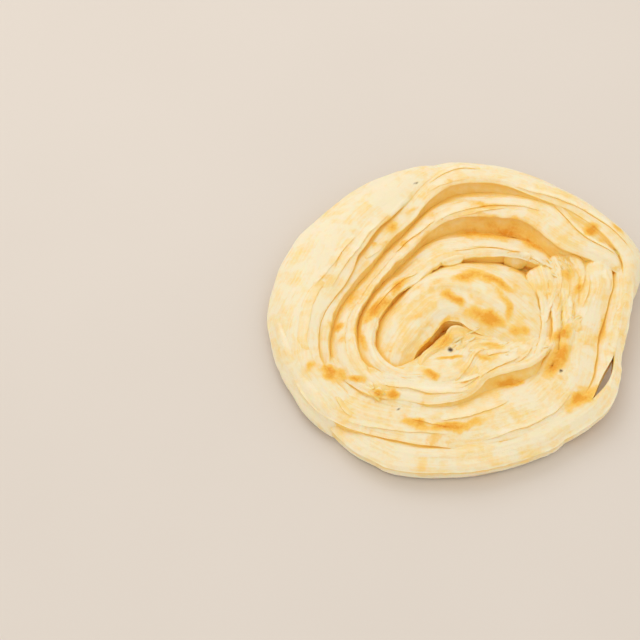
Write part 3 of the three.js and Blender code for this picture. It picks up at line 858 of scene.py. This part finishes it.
def openness(mesh):
    """The share of the sky that each point sees within a short reach: low in creases, where the
    crust's colour paints shade.
    """
    points, triangles = mesh_arrays(mesh)
    normals = vertex_normals(points, triangles)
    tree = BVHTree.FromPolygons(points.tolist(), triangles.tolist())
    k = np.arange(OPEN_RAYS) + 0.5
    spread = np.sqrt(k / OPEN_RAYS)
    swing = k * math.pi * (3 - math.sqrt(5))
    rise = np.sqrt(1 - spread**2)
    side = np.cross(normals, [0.31, 0.52, 0.79])  # any direction but a normal's own
    side /= np.linalg.norm(side, axis=1, keepdims=True)
    other = np.cross(normals, side)
    seen = np.zeros(len(points))
    starts = (points + normals * OPEN_START).tolist()
    for j in range(OPEN_RAYS):
        ways = (
            side * (spread[j] * math.cos(swing[j]))
            + other * (spread[j] * math.sin(swing[j]))
            + normals * rise[j]
        )
        hits = [tree.ray_cast(p, d, OPEN_REACH)[3] for p, d in zip(starts, ways.tolist())]
        seen += [1.0 if h is None else h / OPEN_REACH for h in hits]
    return smoothed(seen / OPEN_RAYS, triangles, 2)


def smoothed(values, triangles, rounds):
    """Each point's value averaged with its neighbours'."""
    pairs = np.concatenate([triangles[:, [0, 1]], triangles[:, [1, 2]], triangles[:, [2, 0]]])
    count = np.bincount(pairs.ravel(), minlength=len(values))
    for _ in range(rounds):
        total = np.bincount(pairs[:, 0], values[pairs[:, 1]], len(values))
        total += np.bincount(pairs[:, 1], values[pairs[:, 0]], len(values))
        values = 0.5 * values + 0.5 * total / np.maximum(count, 1)
    return values


def ridges(points, triangles):
    """How far each point stands out from its neighbours, in millimetres: high along lips."""
    normals = vertex_normals(points, triangles)
    around = np.stack([smoothed(points[:, k], triangles, 2) for k in range(3)], axis=1)
    out = np.einsum("ij,ij->i", points - around, normals) / MM
    return smoothed(out, triangles, 1)


def set_point_values(mesh, name, values):
    """Gives each point of a mesh a value that its material reads by name."""
    attribute = mesh.attributes.new(name, "FLOAT", "POINT")
    attribute.data.foreach_set("value", values.astype(np.float32))


class Nodes:
    """Short calls for building a material's nodes."""

    def __init__(self, tree):
        self.tree = tree

    def add(self, kind, inputs=(), **settings):
        """A node with its settings, and with a value or another node's socket on its inputs."""
        node = self.tree.nodes.new(kind)
        for key, value in settings.items():
            setattr(node, key, value)
        for key, value in dict(inputs).items():
            if isinstance(value, bpy.types.NodeSocket):
                self.tree.links.new(value, node.inputs[key])
            else:
                node.inputs[key].default_value = value
        return node

    def attribute(self, name, output="Fac"):
        return self.add("ShaderNodeAttribute", attribute_name=name).outputs[output]

    def math(self, operation, a, b, clamp=False):
        node = self.add("ShaderNodeMath", {0: a, 1: b}, operation=operation, use_clamp=clamp)
        return node.outputs[0]

    def between(self, value, low, high, to_low=0.0, to_high=1.0):
        """The value brought from one range to another, smoothly and held at its ends."""
        ranges = {"From Min": low, "From Max": high, "To Min": to_low, "To Max": to_high}
        node = self.add(
            "ShaderNodeMapRange", {"Value": value, **ranges}, interpolation_type="SMOOTHSTEP"
        )
        return node.outputs["Result"]

    def mix(self, share, a, b):
        """The first colour, with a share of the second mixed in."""
        node = self.add("ShaderNodeMix", data_type="RGBA")
        sockets = {s.identifier: s for s in node.inputs}
        for key, value in (("Factor_Float", share), ("A_Color", a), ("B_Color", b)):
            if isinstance(value, bpy.types.NodeSocket):
                self.tree.links.new(value, sockets[key])
            else:
                sockets[key].default_value = value if key == "Factor_Float" else (*value, 1)
        return next(s for s in node.outputs if s.identifier == "Result_Color")

    def noise(self, vector, scale, detail=2.0, roughness=0.5):
        node = self.add(
            "ShaderNodeTexNoise",
            {"Vector": vector, "Scale": scale, "Detail": detail, "Roughness": roughness},
        )
        return node.outputs["Fac"]

    def stretched(self, vector, scale):
        return self.add("ShaderNodeMapping", {"Vector": vector, "Scale": scale}).outputs["Vector"]

    def bump(self, height, strength, distance, normal=None):
        """Bumps of a height in metres, on top of another bump's normal if there is one."""
        inputs = {"Height": height, "Strength": strength, "Distance": distance}
        if normal:
            inputs["Normal"] = normal
        return self.add("ShaderNodeBump", inputs).outputs["Normal"]


def new_material(name):
    """A material, its shader and the calls that build its nodes."""
    material = bpy.data.materials.new(name)
    material.use_nodes = True
    return material, material.node_tree.nodes["Principled BSDF"], Nodes(material.node_tree)


def crust_material():
    """Fried dough: cream to butter, paler along its ridges where it is drier and a rim highlight is
    painted, with painted golden shade in its creases and on its covered walls, toasted and charred
    in spots.
    """
    material, shader, nodes = new_material("crust")
    place = nodes.attribute("fold_place", "Vector")
    here = nodes.add("ShaderNodeTexCoord").outputs["Object"]

    patches = nodes.noise(here, 60, 3, 0.55)
    mottle = nodes.noise(here, 230, 3, 0.6)
    streaks = nodes.noise(nodes.stretched(place, (0.06, 0.8, 0)), 1.0, 3, 0.6)
    fine = nodes.noise(here, 700, 2, 0.6)
    open_sky = nodes.attribute("open")
    tone = nodes.attribute("fold_place", "Alpha")
    wall = nodes.add("ShaderNodeSeparateXYZ", {"Vector": place}).outputs["Z"]

    # Cream to butter by patches, streaks and mottling, and paler along the ridges, partly drier
    # dough and partly a painted rim highlight
    butter = nodes.math("ADD", tone, nodes.between(patches, 0.3, 0.7, -0.4, 0.55))
    butter = nodes.math("ADD", butter, nodes.between(streaks, 0.3, 0.75, -0.25, 0.3))
    butter = nodes.math("ADD", butter, nodes.between(mottle, 0.3, 0.7, -0.3, 0.3), clamp=True)
    base = nodes.mix(butter, CREAM, BUTTER)
    base = nodes.mix(nodes.between(nodes.attribute("ridge"), 0.03, 0.2, 0, 0.7), base, DRY_AND_RIM_HIGHLIGHT)

    # Painted shade: golden in the creases and on the walls that another turn covers, and deeper
    # gold in the deepest creases
    crease_shade = nodes.between(open_sky, 0.96, 0.58)
    covered_wall_shade = nodes.math("MULTIPLY", wall, nodes.between(open_sky, 0.99, 0.9, 0, 0.9))
    covered_wall_shade = nodes.math("MULTIPLY", covered_wall_shade, nodes.between(mottle, 0.3, 0.7, 0.75, 1.1))
    painted_shade = nodes.math("MAXIMUM", crease_shade, covered_wall_shade)
    base = nodes.mix(painted_shade, base, PAINTED_SHADE_GOLD)
    deep_crease_shade = nodes.between(open_sky, 0.5, 0.15)
    base = nodes.mix(deep_crease_shade, base, PAINTED_DEEP_SHADE)

    # Toasted to brown in the spots and in faint freckles, and charred in the specks
    freckles = nodes.between(nodes.noise(here, 110, 3, 0.55), 0.52, 0.8, 0, 0.4)
    freckles = nodes.math("MULTIPLY", freckles, nodes.between(tone, 0.1, 0.3))
    brown = nodes.math("MAXIMUM", nodes.attribute("browned"), freckles)
    brown = nodes.math("MULTIPLY", brown, nodes.between(fine, 0.2, 0.8, 0.75, 1.2))
    base = nodes.mix(nodes.between(brown, 0.0, 0.5), base, TOASTED)
    base = nodes.mix(nodes.between(brown, 0.4, 0.9), base, BROWN)
    base = nodes.mix(nodes.attribute("charred"), base, CHAR)
    nodes.tree.links.new(base, shader.inputs["Base Color"])

    gloss = nodes.between(nodes.noise(here, 90, 2), 0.35, 0.7, 0.42, 0.6)
    nodes.tree.links.new(gloss, shader.inputs["Roughness"])
    shader.inputs["Specular IOR Level"].default_value = 0.25
    shader.inputs["Subsurface Weight"].default_value = 0.5
    shader.inputs["Subsurface Radius"].default_value = (1.0, 0.6, 0.3)
    shader.inputs["Subsurface Scale"].default_value = 0.002

    fibres = nodes.noise(nodes.stretched(place, (0.12, 2.2, 0)), 1.0, 3, 0.6)
    grain = nodes.bump(fine, 0.6, 0.0002)
    blisters = nodes.bump(mottle, 0.45, 0.0008, grain)
    nodes.tree.links.new(nodes.bump(fibres, 0.6, 0.0003, blisters), shader.inputs["Normal"])
    return material


def floor_material():
    material, shader, nodes = new_material("floor")
    here = nodes.add("ShaderNodeTexCoord").outputs["Object"]
    tone = nodes.mix(nodes.noise(here, 6, 3), FLOOR_DARK, FLOOR_LIGHT)
    nodes.tree.links.new(tone, shader.inputs["Base Color"])
    shader.inputs["Roughness"].default_value = 0.8
    return material


def dress(mesh):
    """Puffs the dough up under its spots, gives each point what the crust's colour needs, and
    stands the bread on the frame's origin. Returns how far it was moved for that."""
    points, triangles = mesh_arrays(mesh)
    spots = browning(points / MM)
    points[:, 2] += SPOT_RISE * MM * spots * (points[:, 2] > TOP_SIDE * MM)
    mesh.vertices.foreach_set("co", points.astype(np.float32).ravel())
    set_point_values(mesh, "browned", spots)
    set_point_values(mesh, "charred", char(points / MM))
    set_point_values(mesh, "open", openness(mesh))
    set_point_values(mesh, "ridge", ridges(points, triangles))
    mesh.shade_smooth()
    mesh.set_sharp_from_angle(angle=SHARP)
    mesh.materials.clear()
    mesh.materials.append(crust_material())
    middle = (points.min(0) + points.max(0)) / 2
    shift = Vector((-middle[0], -middle[1], 0))
    mesh.transform(Matrix.Translation(shift))
    return shift


def add_to_scene(name, data):
    thing = bpy.data.objects.new(name, data)
    bpy.context.scene.collection.objects.link(thing)
    return thing


def add_camera(middle):
    """The photo's view of the bread, whose coil has its middle at [x, y]."""
    data = bpy.data.cameras.new("camera")
    data.lens = LENS
    data.sensor_width = SENSOR
    camera = add_to_scene("camera", data)
    bpy.context.scene.camera = camera
    target = Vector((middle.x, middle.y, LOOK_HEIGHT))
    back = Vector((0, -math.cos(ELEVATION), math.sin(ELEVATION)))
    camera.location = target + back * DISTANCE - Vector((LOOK_ASIDE, 0, 0))
    camera.rotation_euler = (math.pi / 2 - ELEVATION, 0, 0)


def add_floor():
    r = FLOOR_REACH
    mesh = bpy.data.meshes.new("floor")
    mesh.from_pydata([(-r, -r, 0), (r, -r, 0), (r, r, 0), (-r, r, 0)], [], [(0, 1, 2, 3)])
    mesh.materials.append(floor_material())
    return add_to_scene("floor", mesh)


def add_light():
    """A soft key light from behind on the left, and an even pale sky."""
    data = bpy.data.lights.new("key", "AREA")
    data.energy = KEY_ENERGY
    data.size = KEY_SIZE
    data.color = LIGHT
    key = add_to_scene("key", data)
    key.location = KEY_PLACE
    key.rotation_euler = (-key.location).to_track_quat("-Z", "Y").to_euler()
    world = bpy.data.worlds.new("world")
    bpy.context.scene.world = world
    world.use_nodes = True
    sky = world.node_tree.nodes["Background"]
    sky.inputs["Color"].default_value = (*LIGHT, 1)
    sky.inputs["Strength"].default_value = SKY_STRENGTH


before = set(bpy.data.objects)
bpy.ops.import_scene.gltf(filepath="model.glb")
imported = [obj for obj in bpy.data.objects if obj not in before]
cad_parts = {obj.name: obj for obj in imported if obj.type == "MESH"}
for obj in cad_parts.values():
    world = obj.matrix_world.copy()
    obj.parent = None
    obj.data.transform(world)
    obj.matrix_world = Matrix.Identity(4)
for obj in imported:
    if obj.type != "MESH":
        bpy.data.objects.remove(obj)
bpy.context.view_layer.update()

bread = build_bread()
shift = dress(bread.data)
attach(bread, "root")
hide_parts(NODE)

add_camera(shift)
floor = add_floor()
add_light()
bpy.context.scene.view_settings.view_transform = "Standard"
